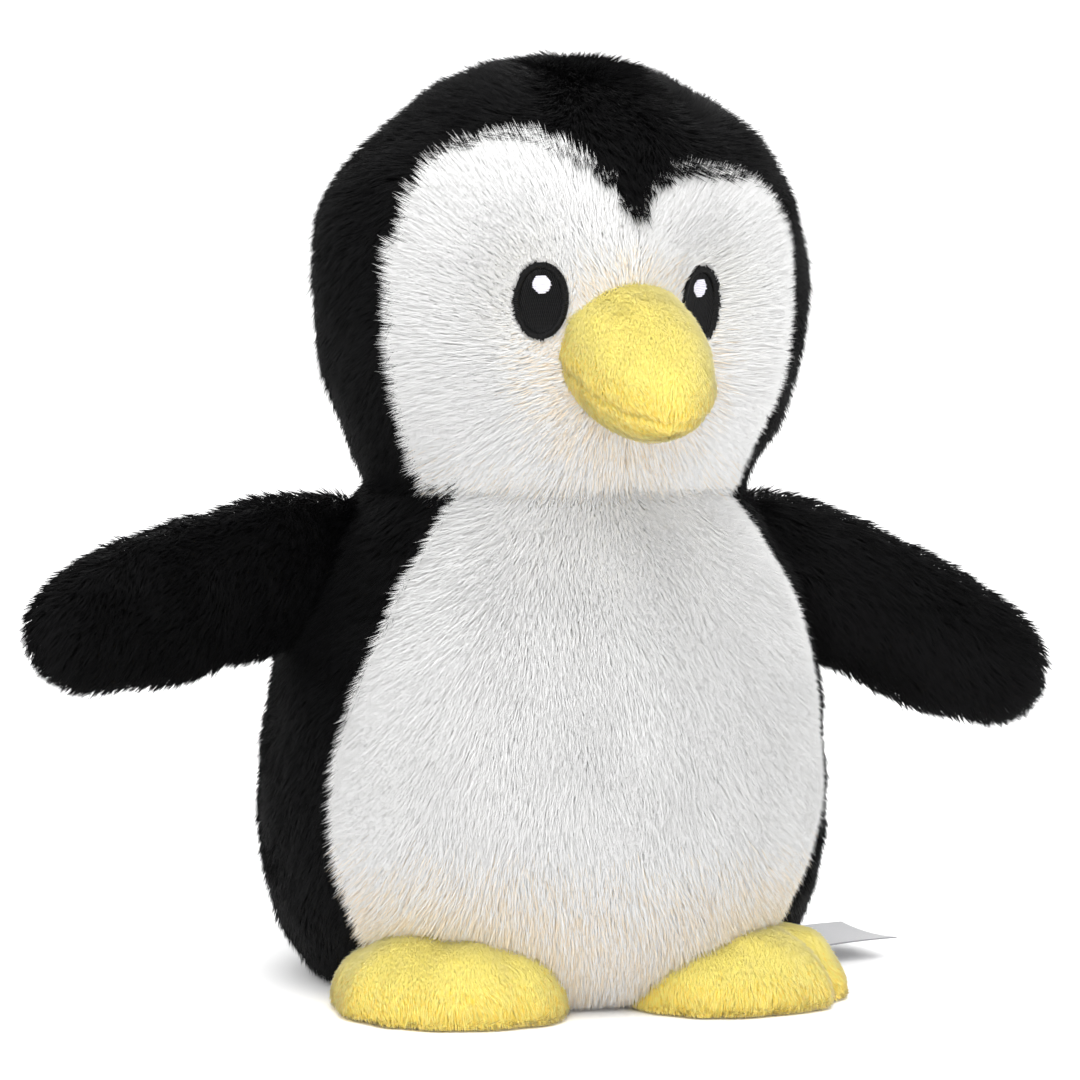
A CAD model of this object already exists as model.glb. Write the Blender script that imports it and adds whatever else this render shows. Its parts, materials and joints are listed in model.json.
import json
import math

import bpy
import numpy as np
from mathutils import Matrix, Vector
from mathutils.bvhtree import BVHTree


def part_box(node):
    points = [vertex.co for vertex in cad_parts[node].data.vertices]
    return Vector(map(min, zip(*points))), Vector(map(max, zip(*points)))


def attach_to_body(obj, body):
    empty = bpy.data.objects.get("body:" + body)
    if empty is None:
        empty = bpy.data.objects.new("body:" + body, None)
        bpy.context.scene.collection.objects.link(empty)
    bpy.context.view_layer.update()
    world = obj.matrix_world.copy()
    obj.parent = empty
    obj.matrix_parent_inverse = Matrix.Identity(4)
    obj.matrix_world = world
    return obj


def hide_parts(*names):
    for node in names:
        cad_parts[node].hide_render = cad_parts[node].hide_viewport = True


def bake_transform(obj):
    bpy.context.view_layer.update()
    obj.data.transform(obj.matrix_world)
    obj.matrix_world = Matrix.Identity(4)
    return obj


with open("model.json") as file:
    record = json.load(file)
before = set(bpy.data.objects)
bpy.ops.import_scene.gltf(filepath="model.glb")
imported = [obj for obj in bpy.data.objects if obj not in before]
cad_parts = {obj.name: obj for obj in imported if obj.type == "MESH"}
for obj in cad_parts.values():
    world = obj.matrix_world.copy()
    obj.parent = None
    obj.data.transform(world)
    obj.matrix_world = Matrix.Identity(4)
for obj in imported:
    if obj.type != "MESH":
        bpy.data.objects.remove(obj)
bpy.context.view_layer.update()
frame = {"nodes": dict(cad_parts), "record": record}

# A plush penguin with a real pile: each sewn panel is a skin, and hairs grow from it.
# The toy stands on z = 0 and faces -Y, so its own left side is at +X. Metres throughout.

MM = 0.001

JOINTS = {joint["name"]: joint for joint in frame["record"]["behaviour"]["joints"]}
TORSO_LOW, TORSO_HIGH = (np.array(corner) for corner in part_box("back_panel_left"))
HEAD_LOW, HEAD_HIGH = (np.array(corner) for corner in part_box("hood_side_left"))
TORSO_HALF_WIDTH = TORSO_HIGH[0] + 1.3 * MM
HEAD_HALF_WIDTH = HEAD_HIGH[0] + 1.6 * MM
TORSO_DEPTH = TORSO_HIGH[1] / TORSO_HALF_WIDTH
HEAD_DEPTH = HEAD_HIGH[1] / HEAD_HALF_WIDTH
SIDE_SEAM_Y = TORSO_LOW[1]
NECK_Z = HEAD_LOW[2]

# height in mm and half width as a share of the widest section, from the bottom up
TORSO_PROFILE = [
    (0.6, 0.00), (0.6, 0.45), (0.8, 0.68), (4, 0.785), (10, 0.864), (22, 0.952), (42, 1.0),
    (65, 0.993), (87, 0.952), (105, 0.872), (120, 0.765), (132, 0.66), (137, 0.60),
]
HEAD_PROFILE = [
    (130, 0.713), (132, 0.749), (143, 0.818), (156, 0.904), (170, 0.964), (185, 0.986), (200, 0.975),
    (214, 0.898), (226, 0.734), (236, 0.533), (242.5, 0.337), (246, 0.14), (246.6, 0.0),
]
# corners and mid-arc points of the white face's outline, half of it, seen from the front (mm)
FACE_ARCS = [
    ((0, 203.5), (31, 223.5), (54, 202)),
    ((54, 202), (55, 170), (40, 132)),
    ((40, 132), (35.5, 121), (30, 110)),
]
FACE_NARROWER, FACE_LOWER = 6.0 * MM, 5.5 * MM
CROWN_HALF_WIDTH = 12 * MM
EYE = np.array([22.2, -44, 184.2]) * MM
EYE_SHIFT = np.array([-1.5, 0, 0]) * MM
EYE_TURN = 36
EYE_HALF = np.array([7.2, 10.4]) * MM
MUZZLE = np.array([0, -52, 168]) * MM
DENSITY = 1.0
HAIRS_PER_PIECE = 33000
CLOTH_THICKNESS = 1.6 * MM
# how far inside its outline a panel starts, and how far the filling can push it out
PANEL_INSET, PANEL_SWELL = 1.2 * MM, 2.2 * MM


# ---------- number helpers ----------


def unit(vectors):
    """The same directions with length one."""
    return vectors / np.maximum(np.linalg.norm(vectors, axis=-1, keepdims=True), 1e-12)


def smooth_step(value, low, high):
    """From 0 at low to 1 at high, with soft ends."""
    share = np.clip((value - low) / (high - low), 0, 1)
    return share * share * (3 - 2 * share)


def hump(distance, width):
    """A bell curve that is one at no distance."""
    return np.exp(-((distance / width) ** 2))


def waves(points, size, seed):
    """A smooth pseudo-random field from about -1 to 1, with lumps of the given size."""
    rng = np.random.default_rng(seed)
    total = np.zeros(len(points))
    for _ in range(7):
        direction = unit(rng.normal(size=3))
        stretch = rng.uniform(0.6, 1.5)
        phase = rng.uniform(0, 2 * math.pi)
        total += np.sin(points @ direction * stretch * 2 * math.pi / size + phase)
    return total / 3.2


def smooth_line(points, count):
    """Evenly spaced points on a smooth curve through the given ones."""
    points = np.array(points, float)
    padded = np.vstack([2 * points[0] - points[1], points, 2 * points[-1] - points[-2]])
    dense = []
    for before, start, end, after in zip(padded, padded[1:], padded[2:], padded[3:]):
        t = np.linspace(0, 1, 40, endpoint=False)[:, None]
        out = (end - before) / 2
        into = (after - start) / 2
        rise, ease = t**3, t**2
        dense.append(
            (2 * rise - 3 * ease + 1) * start + (rise - 2 * ease + t) * out
            + (3 * ease - 2 * rise) * end + (rise - ease) * into
        )
    dense = np.vstack(dense + [points[-1:]])
    steps = np.concatenate([[0], np.cumsum(np.linalg.norm(np.diff(dense, axis=0), axis=1))])
    places = np.linspace(0, steps[-1], count)
    return np.column_stack([np.interp(places, steps, column) for column in dense.T])


def arc_through(start, middle, end, count=60):
    """Points on the circle's arc from start through middle to end."""
    a, b, c = (complex(*point) for point in (start, middle, end))
    ratio = (c - a) / (b - a)
    centre = a + (b - a) * (ratio - abs(ratio) ** 2) / (2j * ratio.imag)
    radius = abs(a - centre)
    angles = [math.atan2((p - centre).imag, (p - centre).real) for p in (a, b, c)]
    turn = (angles[2] - angles[0]) % (2 * math.pi)
    if (angles[1] - angles[0]) % (2 * math.pi) > turn:
        turn -= 2 * math.pi
    sweep = angles[0] + np.linspace(0, turn, count)
    return np.column_stack([centre.real + radius * np.cos(sweep), centre.imag + radius * np.sin(sweep)])


FACE_OUTLINE = np.vstack([arc_through(*arc) for arc in FACE_ARCS]) * MM


def face_distance(points):
    """Signed distance from the face's outline, seen from the front: below 0 inside.

    The toy's left half of the face is sewn a little narrower and lower than its right half.
    """
    brow = smooth_step(points[:, 2], 185 * MM, 212 * MM)
    narrower = FACE_NARROWER * smooth_step(points[:, 0], 18 * MM, 46 * MM) * (1 - 0.6 * brow)
    lower = FACE_LOWER * smooth_step(points[:, 0], 4 * MM, 24 * MM) * brow
    flat = np.column_stack([np.abs(points[:, 0]) + narrower, points[:, 2] + lower])
    nearest = np.full(len(flat), 1.0)
    inside = np.zeros(len(flat), bool)
    for start, end in zip(FACE_OUTLINE, FACE_OUTLINE[1:]):
        along = end - start
        length = along @ along
        if length < 1e-14:
            continue
        share = np.clip((flat - start) @ along / length, 0, 1)
        gap = np.linalg.norm(flat - start - share[:, None] * along, axis=1)
        nearest = np.minimum(nearest, gap)
        crosses = (start[1] > flat[:, 1]) != (end[1] > flat[:, 1])
        reach = start[0] + (flat[:, 1] - start[1]) * along[0] / (along[1] or 1e-12)
        inside ^= crosses & (flat[:, 0] < reach)
    return np.where(inside, -nearest, nearest)


# ---------- meshes ----------


def tube(rings):
    """A closed form made of rings with a middle point at each end: its points and faces."""
    count, around = rings.shape[:2]
    points = np.vstack([rings.reshape(-1, 3), rings[0].mean(axis=0), rings[-1].mean(axis=0)])
    ring, step = np.meshgrid(np.arange(count - 1) * around, np.arange(around), indexing="ij")
    after = (step + 1) % around
    quads = np.stack([ring + step, ring + after, ring + around + after, ring + around + step], axis=-1)
    step, after = step[0], after[0]
    first, last = np.full((2, around), count * around) + [[0], [1]]
    top = (count - 1) * around
    first_cap = np.column_stack([after, step, first, first])
    last_cap = np.column_stack([top + step, top + after, last, last])
    faces = np.vstack([quads.reshape(-1, 4), first_cap, last_cap])
    corner = points[faces[:, :3]] - points.mean(axis=0)
    volume = (np.cross(corner[:, 0], corner[:, 1]) * corner[:, 2]).sum()
    return points, faces if volume > 0 else faces[:, [1, 0, 3, 2]]


def polygons(faces):
    """Faces as lists of point numbers, with the doubled point of a triangle dropped."""
    return [row[:3] if row[2] == row[3] else row for row in faces.tolist()]


def outward(points, faces):
    """The form's normal at each point."""
    corner = points[faces]
    face_normal = np.cross(corner[:, 2] - corner[:, 0], corner[:, 3] - corner[:, 1])
    flat = faces[:, 2] == faces[:, 3]
    face_normal[flat] = np.cross(corner[flat, 1] - corner[flat, 0], corner[flat, 2] - corner[flat, 0])
    total = np.zeros_like(points)
    for column in range(4):
        np.add.at(total, faces[:, column], face_normal)
    return unit(total)


def in_scene(name, data):
    """A new object in the scene."""
    made = bpy.data.objects.new(name, data)
    bpy.context.scene.collection.objects.link(made)
    return made


def mesh_piece(name, points, faces, *materials):
    """A smooth-shaded mesh object."""
    mesh = bpy.data.meshes.new(name)
    mesh.from_pydata(points.tolist(), [], faces)
    mesh.shade_smooth()
    for material in materials:
        mesh.materials.append(material)
    return in_scene(name, mesh)


def with_modifiers_applied(piece):
    """The piece with what its modifiers make as its own mesh."""
    graph = bpy.context.evaluated_depsgraph_get()
    mesh = bpy.data.meshes.new_from_object(piece.evaluated_get(graph))
    piece.modifiers.clear()
    piece.data = mesh
    return piece


FILLING_PRESSURE = 4.0
SWELL_FRAMES = 20


def inflated(points, faces, seam, cap):
    """Where a sewn form's points go when the filling presses outward and the seams hold."""
    piece = mesh_piece("inflating", points, polygons(faces))
    seams = piece.vertex_groups.new(name="seams")
    for number in np.nonzero(seam > 0.05)[0].tolist():
        seams.add([number], float(seam[number]), "REPLACE")
    cloth = piece.modifiers.new("Cloth", "CLOTH")
    cloth.settings.use_pressure = True
    cloth.settings.uniform_pressure_force = FILLING_PRESSURE
    cloth.settings.vertex_group_mass = "seams"
    cloth.settings.effector_weights.gravity = 0
    cloth.settings.quality = 4
    cloth.point_cache.frame_start = 1
    cloth.point_cache.frame_end = SWELL_FRAMES
    for number in range(1, SWELL_FRAMES + 1):
        bpy.context.scene.frame_set(number)
    graph = bpy.context.evaluated_depsgraph_get()
    result = np.empty(len(points) * 3)
    piece.evaluated_get(graph).data.vertices.foreach_get("co", result)
    bpy.data.objects.remove(piece)
    bpy.context.scene.frame_set(1)
    move = result.reshape(-1, 3) - points
    length = np.linalg.norm(move, axis=1, keepdims=True)
    return points + move * np.minimum(1, cap / np.maximum(length, 1e-9))


def with_thickness(piece, thickness, **values):
    """The thin piece as a solid one; the values go on the modifier."""
    solid = piece.modifiers.new("cloth", "SOLIDIFY")
    solid.thickness = thickness
    for setting, value in values.items():
        setattr(solid, setting, value)
    return with_modifiers_applied(piece)


def padded_panel(name, points, faces, material):
    """One sewn panel of a form, with the thickness of its cloth behind it."""
    used, numbers = np.unique(faces, return_inverse=True)
    piece = mesh_piece(name, points[used], polygons(numbers.reshape(faces.shape)), material)
    return with_thickness(piece, CLOTH_THICKNESS, offset=-1)


# ---------- materials ----------


def new_material(name, **values):
    """A material and its nodes; the values go on the shader's own sockets."""
    material = bpy.data.materials.new(name)
    material.use_nodes = True
    shader = material.node_tree.nodes["Principled BSDF"]
    for socket, value in values.items():
        shader.inputs[socket.replace("_", " ")].default_value = value
    return material, material.node_tree, shader


def pile_material(name, colour, roughness, sheen, specular, spread=0.0):
    """One tone of a pile's hairs; light spreads among pale hairs."""
    material, _, _ = new_material(
        name, Base_Color=(*colour, 1), Roughness=roughness, Specular_IOR_Level=specular,
        Sheen_Weight=sheen, Sheen_Roughness=0.5,
        Subsurface_Weight=spread, Subsurface_Radius=(1, 1, 1), Subsurface_Scale=2.5 * MM,
    )
    return material


def new_node(tree, kind, **values):
    """A shader node; the values go on its own sockets."""
    node = tree.nodes.new(f"ShaderNode{kind}")
    for socket, value in values.items():
        node.inputs[socket].default_value = value
    return node


def two_tones(tree, dark, light):
    """A node that goes from the dark tone to the light one."""
    tones = new_node(tree, "ValToRGB")
    tones.color_ramp.elements[0].color = (*dark, 1)
    tones.color_ramp.elements[1].color = (*light, 1)
    return tones


def wire(tree, *links):
    """Join nodes; each link names a node, its output, the next node and that one's input."""
    for start, output, end, socket in links:
        tree.links.new(start.outputs[output], end.inputs[socket])


def cloth_material(name, dark, light, cell, roughness=0.9, specular=0.2):
    """A knitted or woven ground: two tones over a small weave, with its bumps."""
    material, tree, shader = new_material(name, Roughness=roughness, Specular_IOR_Level=specular)
    place = new_node(tree, "TexCoord")
    weave = new_node(tree, "TexVoronoi", Scale=1 / cell)
    patches = new_node(tree, "TexNoise", Scale=0.08 / cell)
    tones = two_tones(tree, dark, light)
    both = tree.nodes.new("ShaderNodeMath")
    both.operation = "MULTIPLY_ADD"
    both.inputs[1].default_value = 0.4
    bump = new_node(tree, "Bump", Strength=0.5, Distance=cell / 3)
    wire(
        tree, (place, "Object", weave, "Vector"), (place, "Object", patches, "Vector"),
        (weave, "Distance", both, 0), (patches, "Fac", both, 2), (both, 0, tones, "Fac"),
        (tones, "Color", shader, "Base Color"), (weave, "Distance", bump, "Height"),
        (bump, "Normal", shader, "Normal"),
    )
    return material


def satin_material(name, dark, light):
    """Ribbon satin: fine crosswise ribs and a soft gloss."""
    material, tree, shader = new_material(name, Roughness=0.38, Sheen_Weight=0.3)
    place = new_node(tree, "TexCoord")
    ribs = new_node(tree, "TexWave", Scale=900, Distortion=0.6)
    tones = two_tones(tree, dark, light)
    bump = new_node(tree, "Bump", Strength=0.25, Distance=0.1 * MM)
    wire(
        tree, (place, "Object", ribs, "Vector"), (ribs, "Fac", tones, "Fac"),
        (tones, "Color", shader, "Base Color"), (ribs, "Fac", bump, "Height"),
        (bump, "Normal", shader, "Normal"),
    )
    return material


def tones_of(name, colour, step, hair):
    """Three close tones of one pile: a step darker, plain, and a little lighter."""
    return [
        pile_material(f"{name}_{number}", [min(1, part * (1 + shift)) for part in colour], **hair)
        for number, shift in enumerate((-step, 0, step * 0.6))
    ]


WHITE_HAIR = dict(roughness=0.8, sheen=0.1, specular=0.2, spread=0.35)
BLACK_HAIR = dict(roughness=0.5, sheen=0.0, specular=0.07)
YELLOW_HAIR = dict(roughness=0.85, sheen=0.1, specular=0.2, spread=0.35)
WHITE_PILE = tones_of("white_pile", (0.865, 0.865, 0.858), 0.015, WHITE_HAIR)
WHITE_PILE.append(pile_material("white_pile_warm", (0.88, 0.74, 0.56), **WHITE_HAIR))
BLACK_PILE = tones_of("black_pile", (0.0022, 0.0022, 0.0025), 0.5, BLACK_HAIR)
YELLOW_PILE = tones_of("yellow_pile", (1.0, 0.835, 0.155), 0.02, YELLOW_HAIR)
YELLOW_PILE.append(pile_material("yellow_pile_deep", (1.0, 0.69, 0.06), **YELLOW_HAIR))
WHITE_GROUND = cloth_material("white_ground", (0.72, 0.71, 0.69), (0.9, 0.89, 0.87), 0.8 * MM)
BLACK_GROUND = cloth_material("black_ground", (0.0008, 0.0008, 0.0008), (0.003, 0.003, 0.003), 0.8 * MM)
YELLOW_GROUND = cloth_material("yellow_ground", (0.98, 0.78, 0.14), (1.0, 0.88, 0.24), 0.8 * MM)
BLACK_THREAD = cloth_material(
    "black_thread", (0.0008, 0.0008, 0.001), (0.004, 0.004, 0.0045), 0.3 * MM, roughness=0.42, specular=0.15
)
WHITE_THREAD = cloth_material("white_thread", (0.5, 0.49, 0.58), (0.8, 0.79, 0.88), 0.3 * MM, 0.5)
GREY_SATIN = satin_material("grey_satin", (0.14, 0.14, 0.155), (0.21, 0.21, 0.225))
FIBRE = cloth_material("fibre_filling", (0.7, 0.7, 0.7), (0.92, 0.92, 0.92), 1.5 * MM)
BAG_CLOTH = cloth_material("bag_cloth", (0.6, 0.6, 0.56), (0.85, 0.85, 0.8), 0.6 * MM)
PELLETS = cloth_material("plastic_pellets", (0.4, 0.4, 0.38), (0.9, 0.9, 0.88), 3.5 * MM, 0.4)


# ---------- pile ----------


def scattered(points, faces, density, rng):
    """Random places on a panel, as points and normals, so many to a square metre."""
    corner = points[faces]
    normal = outward(points, faces)[faces]
    roots, normals = [], []
    for half in ((0, 1, 2), (0, 2, 3)):
        a, b, c = (corner[:, number] for number in half)
        area = np.linalg.norm(np.cross(b - a, c - a), axis=1) / 2
        count = int(area.sum() * density)
        if count == 0:
            continue
        pick = rng.choice(len(area), count, p=area / area.sum())
        u, v = rng.random(count), rng.random(count)
        fold = u + v > 1
        u, v = np.where(fold, 1 - u, u), np.where(fold, 1 - v, v)
        weight = np.column_stack([1 - u - v, u, v])
        roots.append(sum(weight[:, n, None] * corner[pick, half[n]] for n in range(3)))
        normals.append(sum(weight[:, n, None] * normal[pick, half[n]] for n in range(3)))
    return np.vstack(roots), unit(np.vstack(normals))


def hair_bends(roots, normals, flow, coat, seed, rng):
    """Each hair's middle and tip: it leans along the flow, and its outer part leans more."""
    count = len(roots)
    lay = unit(flow - (flow * normals).sum(axis=1, keepdims=True) * normals)
    across = np.cross(normals, lay)
    wide, small = waves(roots, coat["wisp"], seed + 1), waves(roots, coat["tuft"] * 2.5, seed + 2)
    swirl = np.radians(coat["swirl"]) * (wide + 0.5 * small)
    swirl = swirl + rng.normal(0, math.radians(coat["scatter"]), count)
    lay = lay * np.cos(swirl)[:, None] + across * np.sin(swirl)[:, None]
    length = coat["length"] * (1 + 0.1 * waves(roots, coat["wisp"], seed + 3) + rng.normal(0, 0.13, count))
    length = np.maximum(length, 0.25 * coat["length"])[:, None] * coat.get("trim", np.ones(count))[:, None]
    loose = np.radians(rng.normal(0, coat["scatter"] * 0.6, count) + 7 * waves(roots, coat["wisp"], seed + 4))
    low, high = (np.radians(angle) + loose for angle in coat["lean"])
    middle = roots + length * 0.42 * (normals * np.cos(low)[:, None] + lay * np.sin(low)[:, None])
    tip = middle + length * 0.58 * (normals * np.cos(high)[:, None] + lay * np.sin(high)[:, None])
    return middle, tip


def tuft_numbers(roots, size, seed):
    """The number of the uneven little patch that each hair belongs to."""
    shift = np.column_stack([waves(roots, size * 3, seed + number) for number in (5, 6, 7)])
    warped = roots + size * 0.45 * shift
    return np.unique(np.floor(warped / size).astype(int), axis=0, return_inverse=True)[1].ravel()


def drawn_together(points, tuft, pull):
    """Points pulled towards the middle of their tuft."""
    middles = np.column_stack([np.bincount(tuft, column) for column in points.T]) / np.bincount(tuft)[:, None]
    return points + (middles[tuft] - points) * pull


def grow_pile(name, roots, normals, flow, coat, seed, attach):
    """Hairs on the given roots, leaning along the flow, as closed needles in tufts."""
    rng = np.random.default_rng(seed)
    count = len(roots)
    middle, tip = hair_bends(roots, normals, flow, coat, seed, rng)
    tuft = tuft_numbers(roots, coat["tuft"], seed)
    tufts = tuft.max() + 1
    pull = (rng.uniform(0.1, 1, tufts) * coat["gather"])[tuft][:, None]
    tip = drawn_together(tip, tuft, pull)
    middle = drawn_together(middle, tuft, pull * 0.4)
    tip[:, 2] = np.maximum(tip[:, 2], 0.4 * MM)
    middle[:, 2] = np.maximum(middle[:, 2], 0.5 * MM)

    base = roots - normals * 0.5 * MM
    tone = (rng.random(tufts) * 3)[tuft] * 0.6 + rng.random(count) * 3 * 0.4
    tone = np.clip(tone.astype(int), 0, 2)
    if "tint" in coat:
        tone[rng.random(count) < coat["tint"]] = 3
    order = np.argsort(roots[:, 2], kind="stable")
    parts = max(1, math.ceil(count / HAIRS_PER_PIECE))
    for number, chosen in enumerate(np.array_split(order, parts), start=1):
        width = coat["width"] * rng.uniform(0.7, 1.2, len(chosen))
        piece = needle_piece(
            f"{name}_{number}" if parts > 1 else name, base[chosen], middle[chosen], tip[chosen], width,
            tone[chosen], coat["tones"], normals[chosen], coat["softness"],
        )
        attach(piece)


def needle_piece(name, base, middle, tip, width, tone, materials, normals, softness):
    """Needles from base to tip, widest at their middle, lit much as the surface they grow from."""
    count = len(base)
    axis = unit(tip - base)
    side = unit(np.cross(axis, normals) + 1e-6)
    up = np.cross(axis, side)
    rings = []
    for turn in (90, 210, 330):
        angle = math.radians(turn)
        rings.append(middle + (width / 2)[:, None] * (side * math.cos(angle) + up * math.sin(angle)))
    points = np.stack([base, *rings, tip], axis=1).reshape(-1, 3)
    pattern = np.array([[0, 2, 1], [0, 3, 2], [0, 1, 3], [4, 1, 2], [4, 2, 3], [4, 3, 1]])
    faces = (pattern[None] + 5 * np.arange(count)[:, None, None]).reshape(-1)
    mesh = bpy.data.meshes.new(name)
    mesh.vertices.add(count * 5)
    mesh.vertices.foreach_set("co", points.astype(np.float32).ravel())
    mesh.loops.add(count * 18)
    mesh.loops.foreach_set("vertex_index", faces.astype(np.int32))
    mesh.polygons.add(count * 6)
    mesh.polygons.foreach_set("loop_start", np.arange(0, count * 18, 3, dtype=np.int32))
    mesh.polygons.foreach_set("material_index", np.repeat(tone, 6).astype(np.int32))
    mesh.update(calc_edges=True)
    mesh.shade_smooth()
    middle_of = rings[0] + rings[1] + rings[2]
    spread = [unit(ring * 3 - middle_of) for ring in rings]
    shading = np.stack([normals, *(unit(normals * softness + part) for part in spread), normals], axis=1)
    mesh.normals_split_custom_set_from_vertices(shading.reshape(-1, 3).astype(np.float32))
    for material in materials:
        mesh.materials.append(material)
    return in_scene(name, mesh)


# lean is the angle from upright of a hair's lower and upper part; lean, swirl and scatter are in degrees
# gather is the share of the way that tips go to the middle of their tuft; density is hairs per square metre
# the more softness, the more a hair is lit like the surface that it grows from
WHITE_COAT = dict(
    length=6.8 * MM, lean=(30, 58), width=0.26 * MM, tuft=1.2 * MM, gather=0.12, swirl=8, scatter=8,
    wisp=26 * MM, tones=WHITE_PILE, slot="white_plush", density=8.8e6, softness=3.2,
)
BLACK_COAT = dict(
    length=6.9 * MM, lean=(33, 63), width=0.33 * MM, tuft=1.9 * MM, gather=0.6, swirl=17, scatter=11,
    wisp=20 * MM, tones=BLACK_PILE, slot="black_plush", density=4.05e6, softness=0.4,
)
YELLOW_COAT = dict(
    length=2.3 * MM, lean=(54, 76), width=0.25 * MM, tuft=1.2 * MM, gather=0.25, swirl=14, scatter=9,
    wisp=10 * MM, tones=YELLOW_PILE, slot="yellow_minky", density=10.8e6, softness=2.0,
)


def coat_panel(name, points, faces, coat, flow, seed, attach, keep=None, trim=None, tint=None):
    """Grow a coat over one panel; keep thins it out, trim shortens it and tint warms it by place."""
    rng = np.random.default_rng(seed + 100)
    roots, normals = scattered(points, faces, coat["density"] * DENSITY, rng)
    if keep is not None:
        chosen = keep(roots)
        roots, normals = roots[chosen], normals[chosen]
    own = dict(coat, width=coat["width"] / math.sqrt(DENSITY))
    if trim is not None:
        own["trim"] = trim(roots)
    if tint is not None:
        own["tint"] = tint(roots)
    grow_pile(name, roots, normals, flow(roots), own, seed, attach)


# ---------- torso and head ----------


def egg_rings(profile, half_width, depth, rings, around):
    """Rings of the torso or the head, from the bottom up."""
    line = smooth_line([(share * half_width, height * MM) for height, share in profile], rings)
    line = line[1:-1]
    angle = np.linspace(0, 2 * math.pi, around, endpoint=False)
    return np.stack(
        [
            line[:, 0, None] * np.cos(angle),
            line[:, 0, None] * np.sin(angle) * depth,
            np.repeat(line[:, 1, None], around, axis=1),
        ],
        axis=-1,
    )


def on_neck(piece):
    """Bend the torso's top with the neck."""
    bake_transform(piece)


def under_head(piece):
    """Bend the head's lower edge with the neck."""
    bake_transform(piece)


# how far forward of the straight line the side seams run, low down and at the chest
LEFT_SEAM_LOW = 15 * MM
RIGHT_SEAM_LOW, RIGHT_SEAM_CHEST = 6 * MM, 5 * MM


def side_seam(points):
    """Where the side seam runs at each point's height: not quite straight, and uneven from side to side."""
    low = 1 - smooth_step(points[..., 2], 18 * MM, 66 * MM)
    chest = hump(points[..., 2] - 102 * MM, 32 * MM)
    right = RIGHT_SEAM_LOW * low + RIGHT_SEAM_CHEST * chest
    return SIDE_SEAM_Y - np.where(points[..., 0] > 0, LEFT_SEAM_LOW * low, right)


def torso_form():
    """The torso's points, faces and the gap from each point to its nearest seam."""
    rings = egg_rings(TORSO_PROFILE + [(139.5, 0.4), (140.5, 0.0)], TORSO_HALF_WIDTH, TORSO_DEPTH, 74, 144)
    x, y = rings[..., 0], rings[..., 1]
    width = np.hypot(x, y / TORSO_DEPTH)
    depth = width * TORSO_DEPTH
    seam_y = side_seam(rings)
    snap = (np.abs(y - seam_y) < 1.4 * MM) & (depth > 42 * MM)
    y[snap] = seam_y[snap]
    x[snap] = np.sign(x[snap]) * width[snap] * np.sqrt(1 - (y[snap] / depth[snap]) ** 2)
    points, faces = tube(rings)
    side_gap = np.abs(points[:, 1] - side_seam(points))
    back_gap = np.where(points[:, 1] > 0, np.abs(points[:, 0]), 1)
    base_gap = np.abs(points[:, 2] - 4 * MM)
    neck_gap = np.abs(points[:, 2] - NECK_Z)
    gap = np.minimum.reduce([side_gap, back_gap, base_gap, neck_gap])
    return points, faces, gap


def torso_pieces():
    """Belly, two back panels and the base, with their pile."""
    points, faces, gap = torso_form()
    flat = points.copy()
    seam = hump(gap, 2.4 * MM)
    start = points - outward(points, faces) * PANEL_INSET
    points = inflated(start, faces, seam, PANEL_SWELL)
    points = points + outward(points, faces) * (0.35 * MM * waves(flat, 60 * MM, 3))[:, None]
    points[:, 2] = np.maximum(points[:, 2], 0.6 * MM)
    middle = flat[faces].mean(axis=1)
    base = middle[:, 2] < 4 * MM
    belly = ~base & (middle[:, 1] < side_seam(middle))
    back = ~base & ~belly
    white = dict(coat=WHITE_COAT, trim=belly_trim, tint=belly_tint)
    black = dict(coat=BLACK_COAT)
    panels = {
        "belly": (belly, white, ["belly_panel", "torso_stuffing"]),
        "back_left": (back & (middle[:, 0] > 0), black, ["back_panel_left"]),
        "back_right": (back & (middle[:, 0] < 0), black, ["back_panel_right"]),
        "base": (base, None, ["base_panel"]),
    }
    for seed, (name, (chosen, looks, nodes)) in enumerate(panels.items(), start=10):
        ground = WHITE_GROUND if looks is white else BLACK_GROUND
        skin = padded_panel(f"{name}_skin", points, faces[chosen], ground)
        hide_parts(*nodes)
        on_neck(skin)
        if looks:
            coat_panel(
                f"{name}_pile", points, faces[chosen], flow=torso_flow, seed=seed * 20, attach=on_neck,
                keep=below_neck, **looks,
            )


def below_neck(roots):
    """Hairs that the head doesn't cover."""
    return roots[:, 2] < 136 * MM


def belly_trim(roots):
    """Shorter hairs along the belly's side seams."""
    return 1 - 0.4 * hump(roots[:, 1] - side_seam(roots), 6 * MM) * (roots[:, 0] > 0)


def belly_tint(roots):
    """How much of the pile takes the warm tone: most just above the feet."""
    feet = sum(hump(roots[:, 0] - side * FOOT_CENTRE[0], 36 * MM) for side in (-1, 1))
    return 0.8 * (1 - smooth_step(roots[:, 2], 20 * MM, 50 * MM)) * np.minimum(feet, 1)


def torso_flow(roots):
    """Down, and out to the sides over the side seams."""
    outward_x = np.sign(roots[:, 0]) * smooth_step(np.abs(roots[:, 0]), 10 * MM, 70 * MM)
    front = roots[:, 1] < side_seam(roots)
    near_seam = hump(roots[:, 1] - side_seam(roots), 16 * MM) * front
    flow = np.zeros_like(roots)
    flow[:, 2] = -1
    flow[:, 0] = outward_x * 0.35
    flow[:, 1] = 0.9 * near_seam
    return flow


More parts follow.
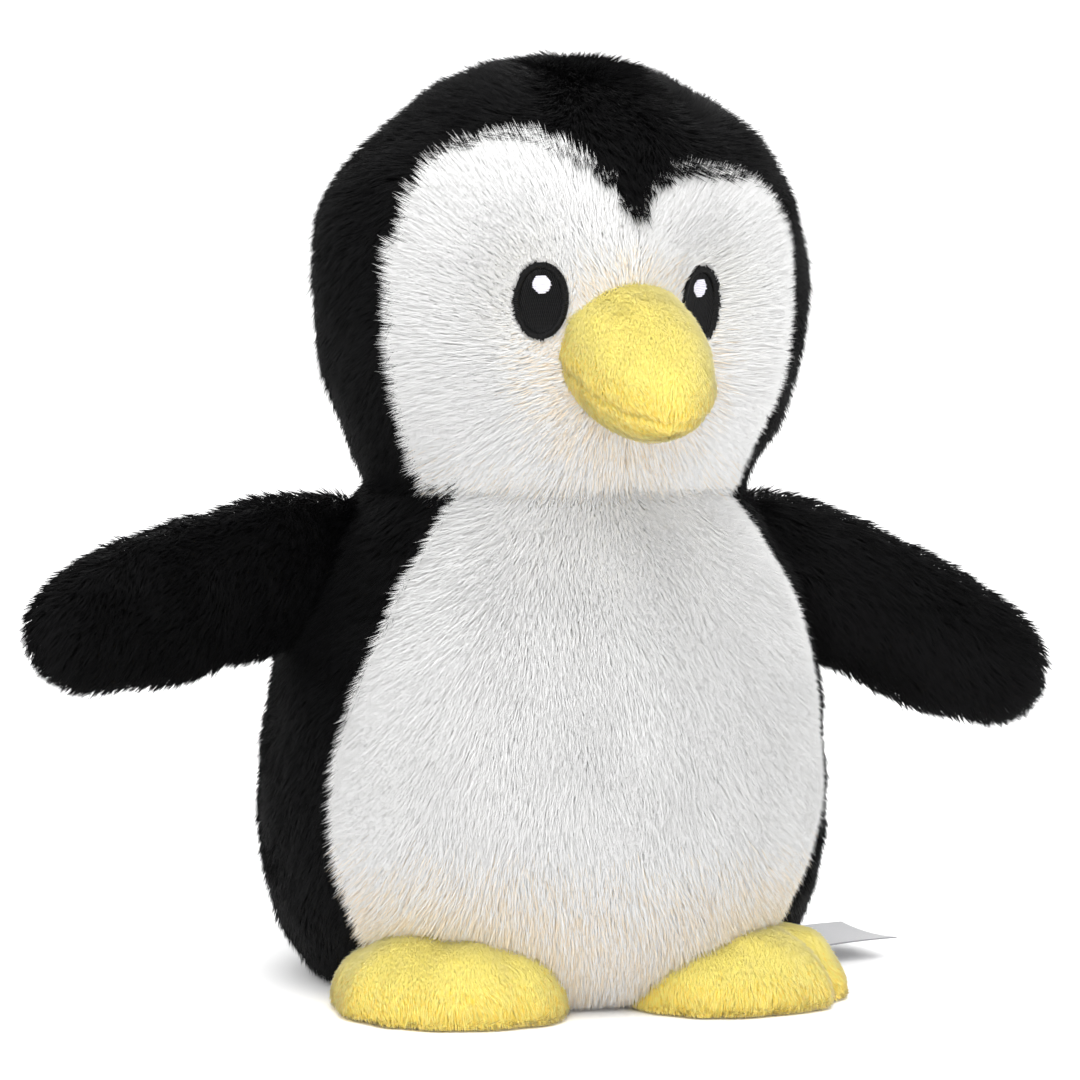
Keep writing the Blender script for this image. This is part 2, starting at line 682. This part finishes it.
def head_form():
    """The head's points, faces and the gap from each point to its nearest seam."""
    profile = [(127.5, 0.0), (128, 0.4)] + HEAD_PROFILE
    rings = egg_rings(profile, HEAD_HALF_WIDTH, HEAD_DEPTH, 74, 144)
    rings[..., 0] += 2 * MM * hump(rings[..., 2] - 229 * MM, 10 * MM)
    points, faces = tube(rings)
    front = points[:, 1] < 0
    outline_gap = np.where(front, face_distance(points), 1)
    middle_gap = np.where(front & (outline_gap < 0), np.abs(points[:, 0]), 1)
    crown_gap = np.where(~front | (outline_gap > 0), np.abs(np.abs(points[:, 0]) - CROWN_HALF_WIDTH), 1)
    neck_gap = np.abs(points[:, 2] - NECK_Z)
    gap = np.minimum.reduce([np.abs(outline_gap), middle_gap, crown_gap, neck_gap])
    return points, faces, gap


def eye_frame(side):
    """The eye's middle, its across direction and the way it looks; side is 1 at the toy's left."""
    turn = math.radians(EYE_TURN)
    centre = EYE * (side, 1, 1) + EYE_SHIFT
    across = np.array([side * math.cos(turn), math.sin(turn), 0])
    ahead = np.array([side * math.sin(turn), -math.cos(turn), 0])
    return centre, across, ahead


def eye_reach(points, side):
    """How far out each point is in the eye's oval: 1 on its edge."""
    centre, across, _ = eye_frame(side)
    offset = points - centre
    reach = np.hypot(offset @ across / EYE_HALF[0], offset[:, 2] / EYE_HALF[1])
    return np.where(points[:, 1] < 0, reach, 9)


def beak_reach(points, height, half_width, half_height):
    """How far out each point is in an oval round the beak: 1 on its edge."""
    return np.hypot(points[:, 0] / half_width, (points[:, 2] - height) / half_height)


MUZZLE_SWELL, EYE_HOLLOW = 3.0 * MM, 7.2 * MM


def face_features(points):
    """How far the face stands out of the plain egg at each point: a muzzle, and hollows at the eyes."""
    front = points[:, 1] < 0
    flat_gap = np.linalg.norm((points - MUZZLE) * (1, 0, 1), axis=1)
    swell = MUZZLE_SWELL * hump(flat_gap, 26 * MM)
    for side in (-1, 1):
        swell = swell - EYE_HOLLOW * hump(eye_reach(points, side), 2.0)
    return np.where(front, swell, 0)


def head_pieces():
    """Face, hood and crown panels with their pile; returns the head's form."""
    points, faces, gap = head_form()
    flat = points.copy()
    seam = hump(gap, 2.2 * MM)
    start = points - outward(points, faces) * PANEL_INSET
    points = inflated(start, faces, seam, PANEL_SWELL)
    lift = face_features(flat) + 0.6 * MM * waves(flat, 50 * MM, 8)
    points = points + outward(points, faces) * lift[:, None]
    middle = flat[faces].mean(axis=1)
    face = (middle[:, 1] < 0) & (face_distance(middle) < 0)
    crown = ~face & (np.abs(middle[:, 0]) < CROWN_HALF_WIDTH)
    rest = ~face & ~crown
    panels = {
        "face_left": (face & (middle[:, 0] > 0), True, ["face_panel_left", "head_stuffing"]),
        "face_right": (face & (middle[:, 0] < 0), True, ["face_panel_right"]),
        "crown": (crown, False, ["hood_crown"]),
        "hood_left": (rest & (middle[:, 0] > 0), False, ["hood_side_left"]),
        "hood_right": (rest & (middle[:, 0] < 0), False, ["hood_side_right"]),
    }
    for seed, (name, (chosen, white, nodes)) in enumerate(panels.items(), start=30):
        skin = padded_panel(f"{name}_skin", points, faces[chosen], WHITE_GROUND if white else BLACK_GROUND)
        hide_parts(*nodes)
        under_head(skin)
        if white:
            looks = dict(coat=WHITE_COAT, flow=face_flow, keep=face_keep, trim=face_trim, tint=face_tint)
        else:
            looks = dict(coat=BLACK_COAT, flow=hood_flow, keep=hood_keep)
        coat_panel(f"{name}_pile", points, faces[chosen], seed=seed * 20, attach=under_head, **looks)
    return points, faces


def face_keep(roots):
    """Leave the eyes, the beak's root and the neck seam free of hairs."""
    clear = (eye_reach(roots, -1) > 1.0) & (eye_reach(roots, 1) > 1.0)
    under_beak = beak_reach(roots, 171 * MM, 17 * MM, 14 * MM) < 1
    return clear & ~under_beak & (roots[:, 2] > 130 * MM)


def hood_keep(roots):
    """Leave the neck seam's underside free of hairs."""
    return roots[:, 2] > 131 * MM


def face_trim(roots):
    """Shorter hairs close to the eyes, the beak, the brow's peak and the outline at the toy's left."""
    nearest = np.minimum(eye_reach(roots, -1), eye_reach(roots, 1) + 0.35)
    beak = beak_reach(roots, 171 * MM, 19 * MM, 16 * MM)
    outline = 1 - 0.35 * hump(face_distance(roots), 5 * MM) * smooth_step(roots[:, 0], 5 * MM, 35 * MM)
    outline = outline * (1 - 0.65 * hump(np.hypot(roots[:, 0], roots[:, 2] - 209 * MM), 14 * MM))
    eyes = 0.45 + 0.55 * smooth_step(nearest, 1.0, 1.8)
    return outline * eyes * (0.6 + 0.4 * smooth_step(beak, 0.95, 1.6))


def face_tint(roots):
    """How much of the pile takes the warm tone: a little round and below the beak."""
    beak = beak_reach(roots, 168 * MM, 19 * MM, 19 * MM)
    chin = 1 - smooth_step(roots[:, 2], 133 * MM, 152 * MM)
    return 0.45 * (1 - smooth_step(beak, 0.9, 1.7)) + 0.25 * chin * hump(roots[:, 0], 45 * MM)


def face_flow(roots):
    """Outward from the muzzle, parted round the eyes."""
    flow = roots - MUZZLE * (0, 1, 1) - np.array([0, 0, 1]) * 2 * MM
    flow = unit(flow)
    for side in (-1, 1):
        centre, _, _ = eye_frame(side)
        away = unit(roots - centre)
        parting = 1.1 if side < 0 else 0.25
        flow = flow + parting * away * hump(eye_reach(roots, side) - 1, 0.55)[:, None]
    return flow


def hood_flow(roots):
    """Back from the face and down, and down over the brow's peak."""
    flow = np.zeros_like(roots)
    flow[:, 2] = -1
    flow[:, 1] = 0.8 * smooth_step(-roots[:, 1], -30 * MM, 30 * MM)
    peak = hump(roots[:, 0], 16 * MM) * (roots[:, 1] < 0) * smooth_step(roots[:, 2], 190 * MM, 205 * MM)
    flow[:, 1] -= 1.8 * peak
    top = smooth_step(roots[:, 2], 215 * MM, 245 * MM) * (1 - peak)
    flow[:, 1] += 1.0 * top
    flow[:, 0] += np.sign(roots[:, 0]) * 0.3 * top
    return flow


# ---------- eyes ----------


def thread(path, radius, sides=5):
    """A closed tube along a path, pointed at both ends, as points and faces."""
    along = unit(np.gradient(path, axis=0))
    side = unit(np.cross(along, (0.31, 0.52, 0.79)))
    up = np.cross(along, side)
    share = np.linspace(0, 1, len(path))
    girth = radius * np.sqrt(np.clip(1 - (2 * share - 1) ** 6, 0.02, 1))
    angle = np.arange(sides) * 2 * math.pi / sides
    ring = side[:, None] * np.cos(angle)[None, :, None] + up[:, None] * np.sin(angle)[None, :, None]
    rings = path[:, None] + ring * girth[:, None, None]
    return tube(rings)


def joined(parts):
    """Several sets of points and faces as one."""
    points, faces, total = [], [], 0
    for some_points, some_faces in parts:
        points.append(some_points)
        faces.append(some_faces + total)
        total += len(some_points)
    return np.vstack(points), np.vstack(faces)


def oval_threads(place, half, spacing, turn, radius, seed, border):
    """Satin stitches that fill an oval, and short ones across its edge."""
    rng = np.random.default_rng(seed)
    parts = []
    lean = math.radians(turn)
    along = np.array([math.cos(lean), math.sin(lean)])
    aside = np.array([-along[1], along[0]])
    reach = max(half)
    for offset in np.arange(-reach, reach, spacing):
        line = np.linspace(-reach * 1.1, reach * 1.1, 60)
        spots = aside * offset + along * line[:, None]
        inside = np.hypot(spots[:, 0] / half[0], spots[:, 1] / half[1]) < 0.97
        if inside.sum() < 4:
            continue
        ends = line[inside][[0, -1]] + rng.normal(0, 0.12 * MM, 2)
        share = np.linspace(0, 1, 9)
        spots = aside * offset + along * (ends[0] + (ends[1] - ends[0]) * share)[:, None]
        crown = 0.35 * MM * (1 - (2 * share - 1) ** 4) + rng.normal(0, 0.03 * MM)
        parts.append(thread(place(spots, crown), radius))
    if border:
        for angle in np.arange(0, 2 * math.pi, spacing * 0.85 / np.mean(half)):
            edge = np.array([math.cos(angle) * half[0], math.sin(angle) * half[1]])
            reach_here = np.linalg.norm(edge)
            inner, outer = 1 - border / reach_here, 1 + rng.uniform(0, 0.9 * MM) / reach_here
            share = np.linspace(0, 1, 6)
            spots = edge * (inner + (outer - inner) * share)[:, None]
            crown = 0.5 * MM * np.sin(math.pi * share) ** 0.6 + 0.15 * MM
            parts.append(thread(place(spots, crown), radius * 1.05))
    return joined(parts)


def face_placer(form, side, shift, lift):
    """A function that lays spots of the eye's plane on the face, raised by a crown."""
    points, faces = form
    tree = BVHTree.FromPolygons(points.tolist(), polygons(faces))
    centre, across, ahead = eye_frame(side)
    up = np.array([0, 0, 1.0])

    def place(spots, crown):
        placed = []
        for (right, above), rise in zip(spots, crown):
            origin = centre + across * right * side + up * (above + shift) + ahead * 0.05
            hit = tree.ray_cast(Vector(origin), Vector(-ahead))[0]
            placed.append(np.array(hit) + ahead * (rise + lift))
        return np.array(placed)

    return place


def eye_pieces(form):
    """Embroidered black ovals, each with a pale highlight."""
    for side, name in ((1, "left"), (-1, "right")):
        place = face_placer(form, side, 0, 1.5 * MM)
        pad = oval_pad(place, EYE_HALF * 0.95)
        stitches = oval_threads(place, EYE_HALF * 0.93, 0.50 * MM, 72 * side, 0.25 * MM, 5, 1.6 * MM)
        points, faces = joined([pad, stitches])
        eye = mesh_piece(f"eye_{name}_embroidery", points, polygons(faces), BLACK_THREAD)
        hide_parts(f"eye_{name}")
        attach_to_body(eye, "head")
        spot_place = face_placer(form, side, 4.2 * MM, 2.0 * MM)
        spot = np.array([2.6, 2.5]) * MM
        points, faces = joined([
            oval_pad(spot_place, spot * 0.9, 0.3 * MM),
            oval_threads(spot_place, spot, 0.46 * MM, 4, 0.24 * MM, 9, 0),
        ])
        light = mesh_piece(f"eye_{name}_highlight_stitches", points, polygons(faces), WHITE_THREAD)
        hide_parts(f"eye_highlight_{name}")
        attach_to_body(light, "head")


def oval_pad(place, half, depth=1.8 * MM):
    """The padding that the stitches lie on: a low closed oval."""
    around = 40
    angle = np.linspace(0, 2 * math.pi, around, endpoint=False)
    circle = np.column_stack([np.cos(angle), np.sin(angle)]) * half
    under = [(0.05, -depth), (0.6, -depth), (1, -depth)]
    over = [(1, 0), (0.9, 0.15 * MM), (0.5, 0.3 * MM), (0.05, 0.32 * MM)]
    rings = [place(circle * share, np.full(around, rise)) for share, rise in under + over]
    return tube(np.array(rings))


# ---------- beak ----------


BEAK_ROOT = np.array([0, -49, 169.6]) * MM
BEAK_DROOP = 21
BEAK_HALF_WIDTH, BEAK_LENGTH = 18.3 * MM, 33.5 * MM
BEAK_ABOVE, BEAK_BELOW = 20 * MM, 16.5 * MM


def beak_turn():
    """From the beak's own frame, where it points along -Y, to the toy's."""
    return np.array(Matrix.Rotation(math.radians(BEAK_DROOP), 3, "X"))


def beak_piece():
    """The padded beak: a deep upper panel and a shallow lower one, sewn along the sides."""
    around = 96
    angle = np.linspace(0, 2 * math.pi, around, endpoint=False)
    rings = []
    for along in np.sin(np.linspace(-0.33, 0.995, 40) * math.pi / 2):
        girth = math.sqrt(max(1 - abs(along) ** 2.15, 0.0004))
        height = np.where(np.sin(angle) > 0, BEAK_ABOVE, BEAK_BELOW)
        rings.append(np.column_stack([
            np.cos(angle) * BEAK_HALF_WIDTH * girth,
            np.full(around, -along * BEAK_LENGTH),
            np.sin(angle) * height * girth,
        ]))
    points, faces = tube(np.array(rings))
    own = points.copy()
    seam = hump(own[:, 2], 1.3 * MM)
    start = points - outward(points, faces) * 0.7 * MM
    points = inflated(start, faces, seam, 2.0 * MM)
    points = points + outward(points, faces) * (0.35 * MM * hump(own[:, 2] - 0.5 * MM, 1.8 * MM))[:, None]
    points = points - outward(points, faces) * (0.6 * MM * hump(own[:, 2] + 2 * MM, 1.2 * MM))[:, None]
    points = points @ beak_turn().T + BEAK_ROOT
    beak = mesh_piece("beak_skin", points, polygons(faces), YELLOW_GROUND)
    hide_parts("beak_upper", "beak_lower", "beak_stuffing")
    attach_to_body(beak, "head")

    def above_seam(roots):
        return ((roots - BEAK_ROOT) @ beak_turn())[:, 2]

    def flow(roots):
        ahead = beak_turn() @ np.array([0, -1, 0])
        return np.tile(ahead, (len(roots), 1)) + np.array([0, 0, -0.9])

    def longer_on_seam(roots):
        return 1 + 0.4 * hump(above_seam(roots) - 0.5 * MM, 2.4 * MM)

    def deeper_below(roots):
        return 0.55 * (1 - smooth_step(above_seam(roots), -1 * MM, 9 * MM))

    coat_panel(
        "beak_pile", points, faces, YELLOW_COAT, flow, 900, lambda piece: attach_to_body(piece, "head"),
        trim=longer_on_seam, tint=deeper_below,
    )


# ---------- flippers ----------

# along the flipper from the shoulder, middle height, half height and half thickness (mm)
FLIPPER_SECTIONS = [
    (-38, 1, 3, 3), (-36, 1, 8, 6), (-30, 1, 13.5, 8), (-20, 1, 17, 9), (-10, 0.9, 18.4, 9.4),
    (0, 0.7, 18.9, 9.4), (14, 0.6, 18.6, 9.2), (30, 0.5, 17.8, 8.8), (44, 0.2, 16.2, 8.2),
    (55, -0.4, 13.2, 7), (61.5, -1, 9, 5), (65, -1.2, 3.5, 2.2), (65.5, -1.2, 0.6, 0.5),
]
# degrees: round the upright line, and down from level
FLIPPER_TURNS = {"left": (-8, 23.6), "right": (196, 11)}
# how far inside and outside the shoulder the flipper bends
BEND_INSIDE, BEND_OUTSIDE = 22 * MM, 14 * MM


def flipper_frame(side):
    """The flipper's shoulder and its turn: its tip lies along its own +X."""
    yaw, droop = FLIPPER_TURNS[side]
    turn = Matrix.Rotation(math.radians(yaw), 3, "Z") @ Matrix.Rotation(math.radians(droop), 3, "Y")
    shoulder = np.array(JOINTS[f"flipper_{side}_flap"]["pos_m"])
    return shoulder, np.array(turn)


def flipper_piece(side):
    """A flat padded flipper that widens into the shoulder, with its pile."""
    shoulder, turn = flipper_frame(side)
    line = smooth_line(FLIPPER_SECTIONS, 46) * MM
    around = 64
    angle = np.linspace(0, 2 * math.pi, around, endpoint=False)
    pinch = np.sin(angle) * np.abs(np.sin(angle)) ** 0.35
    rings = np.stack([
        np.column_stack([np.full(around, x), pinch * thick, z + np.cos(angle) * high])
        for x, z, high, thick in line
    ])
    points, faces = tube(rings)
    own = points.copy()
    edge = hump(np.abs(own[:, 1]), 0.9 * MM)
    middle_height = np.interp(own[:, 0], line[:, 0], line[:, 1])
    half_height = np.interp(own[:, 0], line[:, 0], line[:, 2])
    rim = np.where(np.abs(own[:, 2] - middle_height) > half_height * 0.93, edge, 0)
    start = points - outward(points, faces) * 0.6 * MM
    points = inflated(start, faces, rim, 2.0 * MM)
    points = points + outward(points, faces) * (0.5 * MM * waves(own, 24 * MM, 40))[:, None]
    points = points @ turn.T + shoulder
    skin = mesh_piece(f"flipper_{side}_skin", points, polygons(faces), BLACK_GROUND)
    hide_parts(*(f"flipper_{part}_{side}" for part in ("front", "back", "stuffing")))
    tip = turn @ np.array([1, 0, 0])
    begin, end = shoulder - tip * BEND_INSIDE, shoulder + tip * BEND_OUTSIDE

    def attach(piece):
        tuple(begin)
        tuple(end)
        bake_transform(piece)

    def flow(roots):
        return np.tile(tip * 0.9, (len(roots), 1)) + np.array([0, 0, -0.55])

    def outside_torso(roots):
        return torso_reach(roots) > 0.97

    attach(skin)
    seed = {"left": 1000, "right": 1100}[side]
    coat_panel(f"flipper_{side}_pile", points, faces, BLACK_COAT, flow, seed, attach, keep=outside_torso)


# ---------- feet ----------

FOOT_HALF_WIDTH = {"left": 33 * MM, "right": 30.5 * MM}
TOE_REACH, HEEL_REACH, FOOT_HEIGHT = 26.8 * MM, 19 * MM, 22 * MM
FOOT_INWARD = {"left": 2.5 * MM, "right": -0.7 * MM}
FOOT_SPLAY = 10
# the power of the outline's oval: 2 is an ellipse, more is squarer
FOOT_SQUARENESS = 2.35
FOOT_SEAM_HEIGHT = 2.4 * MM
FOOT_CENTRE = np.array([40, -40, 0]) * MM
# angle round the outline of each gap between the toes, and how deep it is (degrees, share)
TOE_GAPS = {"left": ((-42, 0.11), (-108, 0.015)), "right": ((-120, 0.015), (-60, 0.025))}
# how deep the top's crease would be at a gap with a share of 1
CREASE_DEPTH = 24 * MM


def foot_outline(angle, side):
    """The foot's reach from its middle in each direction, with the gaps between its toes."""
    ahead = np.where(np.sin(angle) < 0, TOE_REACH, HEEL_REACH)
    aside_share = np.abs(np.cos(angle) / FOOT_HALF_WIDTH[side]) ** FOOT_SQUARENESS
    ahead_share = np.abs(np.sin(angle) / ahead) ** FOOT_SQUARENESS
    reach = (aside_share + ahead_share) ** (-1 / FOOT_SQUARENESS)
    for degrees, depth in TOE_GAPS[side]:
        away = np.degrees(np.angle(np.exp(1j * (angle - math.radians(degrees)))))
        reach = reach * (1 - depth * hump(away, 8))
    return reach


def foot_piece(side):
    """A padded foot with three soft toes, lying flat on the floor."""
    sign = {"left": 1, "right": -1}[side]
    around = 112
    angle = np.linspace(0, 2 * math.pi, around, endpoint=False)
    outline = np.column_stack([np.cos(angle), np.sin(angle)]) * foot_outline(angle, side)[:, None]
    shares = np.sin(np.linspace(0.03, 1, 26) * math.pi / 2)
    top_heights = FOOT_SEAM_HEIGHT + (FOOT_HEIGHT - 3.4 * MM) * (1 - shares**3.2) ** 0.55
    top = list(zip(shares, top_heights))
    sole = [(0.99, 1.4 * MM), (0.95, 0.8 * MM), (0.8, 0.7 * MM), (0.5, 0.6 * MM), (0.1, 0.6 * MM)]
    rings = [np.column_stack([outline * share, np.full(around, height)]) for share, height in top + sole]
    points, faces = tube(np.array(rings))
    own = points.copy()
    seam = hump(own[:, 2] - FOOT_SEAM_HEIGHT, 0.8 * MM)
    points = inflated(points - outward(points, faces) * 0.7 * MM, faces, seam, 2.0 * MM)
    points = points + outward(points, faces) * (0.6 * MM * waves(own, 17 * MM, 60 + sign))[:, None]
    direction = np.degrees(np.arctan2(own[:, 1], own[:, 0]))
    span = np.hypot(own[:, 0], own[:, 1])
    for degrees, depth in TOE_GAPS[side]:
        away = (direction - degrees + 180) % 360 - 180
        crease = hump(np.radians(away) * span, 3.0 * MM) * smooth_step(span, 9 * MM, 24 * MM)
        crease = crease * (np.abs(away) < 60)
        points[:, 2] -= crease * CREASE_DEPTH * depth * (own[:, 2] > 2.6 * MM)
    points[:, 2] = np.maximum(points[:, 2], 0.5 * MM)
    splay = np.array(Matrix.Rotation(math.radians(FOOT_SPLAY * sign), 3, "Z"))
    centre = (FOOT_CENTRE - np.array([FOOT_INWARD[side], 0, 0])) * (sign, 1, 1)
    points = points @ splay.T + centre
    points = clear_of_torso(points)
    name = f"foot_{side}"
    skin = mesh_piece(f"{name}_skin", points, polygons(faces), YELLOW_GROUND)
    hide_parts(*(f"foot_{part}_{side}" for part in ("top", "sole", "stuffing")))
    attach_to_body(skin, name)

    def flow(roots):
        ahead = roots - centre - np.array([0, 22, 0]) * MM
        return unit(ahead) + np.array([0, 0, -0.5])

    def longer_in_front(roots):
        front = smooth_step(centre[1] - roots[:, 1], 8 * MM, 24 * MM)
        return 1 + 0.7 * front * hump(roots[:, 2] - 6 * MM, 6 * MM)

    def deeper_below(roots):
        return 0.5 * (1 - smooth_step(roots[:, 2], 4 * MM, 15 * MM))

    def off_floor(roots):
        return roots[:, 2] > 1.2 * MM

    coat_panel(
        f"{name}_pile", points, faces, YELLOW_COAT, flow, {"left": 1200, "right": 1300}[side],
        lambda piece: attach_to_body(piece, name), keep=off_floor, trim=longer_in_front,
        tint=deeper_below,
    )


def torso_reach(points, room=0.0):
    """How far out each point is in the torso's oval at its height: 1 on the fabric."""
    heights, shares = (np.array(column) for column in zip(*TORSO_PROFILE[2:]))
    width = np.interp(points[:, 2], heights * MM, shares) * TORSO_HALF_WIDTH + room
    return np.hypot(points[:, 0] / width, points[:, 1] / (width * TORSO_DEPTH))


def clear_of_torso(points):
    """Push what would be inside the torso out onto its side."""
    reach = torso_reach(points, 0.3 * MM)
    scale = np.where(reach < 1, 1 / np.maximum(reach, 0.3), 1)
    return points * np.column_stack([scale, scale, np.ones(len(points))])


# ---------- care label ----------


LABEL_LENGTH, LABEL_WIDTH = 46 * MM, 25 * MM
# degrees: round the upright line, and up from level
LABEL_TURN, LABEL_RISE = 12.8, 2.6


def label_piece():
    """The satin ribbon label, sewn into the base seam and curling at its free end."""
    rows, columns = 42, 26
    along, across = np.meshgrid(np.linspace(0, 1, rows), np.linspace(-1, 1, columns), indexing="ij")
    rise = 0.8 * MM * np.sin(along * math.pi) + 0.9 * MM * (across**2 - 1) * along**2
    own = np.stack([along * LABEL_LENGTH, across * LABEL_WIDTH / 2, rise], axis=-1).reshape(-1, 3)
    around = Matrix.Rotation(math.radians(LABEL_TURN), 3, "Z")
    turn = around @ Matrix.Rotation(math.radians(-LABEL_RISE), 3, "Y")
    points = own @ np.array(turn).T + np.array(JOINTS["label_lift"]["pos_m"])
    row, column = np.meshgrid(np.arange(rows - 1), np.arange(columns - 1), indexing="ij")
    first = (row * columns + column).reshape(-1)
    faces = np.column_stack([first, first + columns, first + columns + 1, first + 1])
    label = mesh_piece("label_ribbon", points, faces.tolist(), GREY_SATIN)
    with_thickness(label, 0.3 * MM)
    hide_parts("care_label")
    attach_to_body(label, "label")


# ---------- inside ----------


def inner_nodes():
    """Materials for the CAD pieces that stay inside the toy."""
    for name, material in (("pellet_bag", BAG_CLOTH), ("pellets", PELLETS), ("neck_stuffing", FIBRE)):
        for place in frame["nodes"][name].material_slots:
            place.material = material


# ---------- stage ----------


TOY_MIDDLE, TOY_LOW = (0, 0, 0.12), (0, 0, 0.07)
# each lamp's place, what it points at, its diameter and its power in watts
LAMPS = {
    "key": ((-0.9, -1.5, 1.3), TOY_MIDDLE, 1.4, 14.5),
    "low_front": ((-0.2, -1.7, 0.3), TOY_LOW, 1.2, 6),
    "over": ((-0.1, -0.45, 1.7), TOY_MIDDLE, 1.2, 13),
    "behind": ((0.7, 1.5, 1.3), TOY_MIDDLE, 1.4, 9),
}
SURROUNDING_BRIGHTNESS = 1.3
FLOOR_REACH = 12.0
# degrees, metres, mm for the lens and its sensor, and shares of the frame for the shifts
CAMERA_AZIMUTH, CAMERA_ELEVATION, CAMERA_ROLL = -22, 5, 2
CAMERA_AIM, CAMERA_DISTANCE = Vector((0, 0, 0.125)), 1.1
LENS, SENSOR = 136.2, 36
SHIFT_X, SHIFT_Y = -0.012963, -0.023148


def area_light(name, place, target, size, power):
    """A large soft lamp that points at the toy."""
    data = bpy.data.lights.new(name, "AREA")
    data.shape = "DISK"
    data.size = size
    data.energy = power
    lamp = in_scene(name, data)
    lamp.location = place
    lamp.rotation_euler = (Vector(target) - Vector(place)).to_track_quat("-Z", "Y").to_euler()


def floor_piece():
    """A pale floor, wide enough to fill the view."""
    floor_mesh = bpy.data.meshes.new("floor")
    corners = [(x * FLOOR_REACH, y * FLOOR_REACH, 0) for x, y in ((-1, -1), (1, -1), (1, 1), (-1, 1))]
    floor_mesh.from_pydata(corners, [], [(0, 1, 2, 3)])
    material, _, _ = new_material("floor", Roughness=0.9, Base_Color=(0.97, 0.97, 0.97, 1))
    floor_mesh.materials.append(material)
    in_scene("floor", floor_mesh)


def lights():
    """Soft lamps and a bright surrounding."""
    for name, lamp in LAMPS.items():
        area_light(name, *lamp)
    world = bpy.data.worlds.new("studio")
    world.use_nodes = True
    background = world.node_tree.nodes["Background"]
    background.inputs["Color"].default_value = (1, 1, 1, 1)
    background.inputs["Strength"].default_value = SURROUNDING_BRIGHTNESS
    bpy.context.scene.world = world
    bpy.context.scene.view_settings.view_transform = "Standard"


def make_camera():
    """The camera, aimed at the toy and rolled a little."""
    azimuth, elevation = math.radians(CAMERA_AZIMUTH), math.radians(CAMERA_ELEVATION)
    data = bpy.data.cameras.new("camera")
    data.lens = LENS
    data.sensor_width = SENSOR
    data.shift_x = SHIFT_X
    data.shift_y = SHIFT_Y
    camera = in_scene("camera", data)
    level_share = math.cos(elevation)
    back = Vector((
        math.sin(azimuth) * level_share, -math.cos(azimuth) * level_share, math.sin(elevation),
    ))
    level = (-back).to_track_quat("-Z", "Y").to_matrix()
    camera.rotation_euler = (level @ Matrix.Rotation(math.radians(CAMERA_ROLL), 3, "Z")).to_euler()
    camera.location = CAMERA_AIM + back * CAMERA_DISTANCE
    bpy.context.scene.camera = camera


floor_piece()
lights()
make_camera()
torso_pieces()
head = head_pieces()
eye_pieces(head)
beak_piece()
for side in ("left", "right"):
    flipper_piece(side)
    foot_piece(side)
label_piece()
inner_nodes()
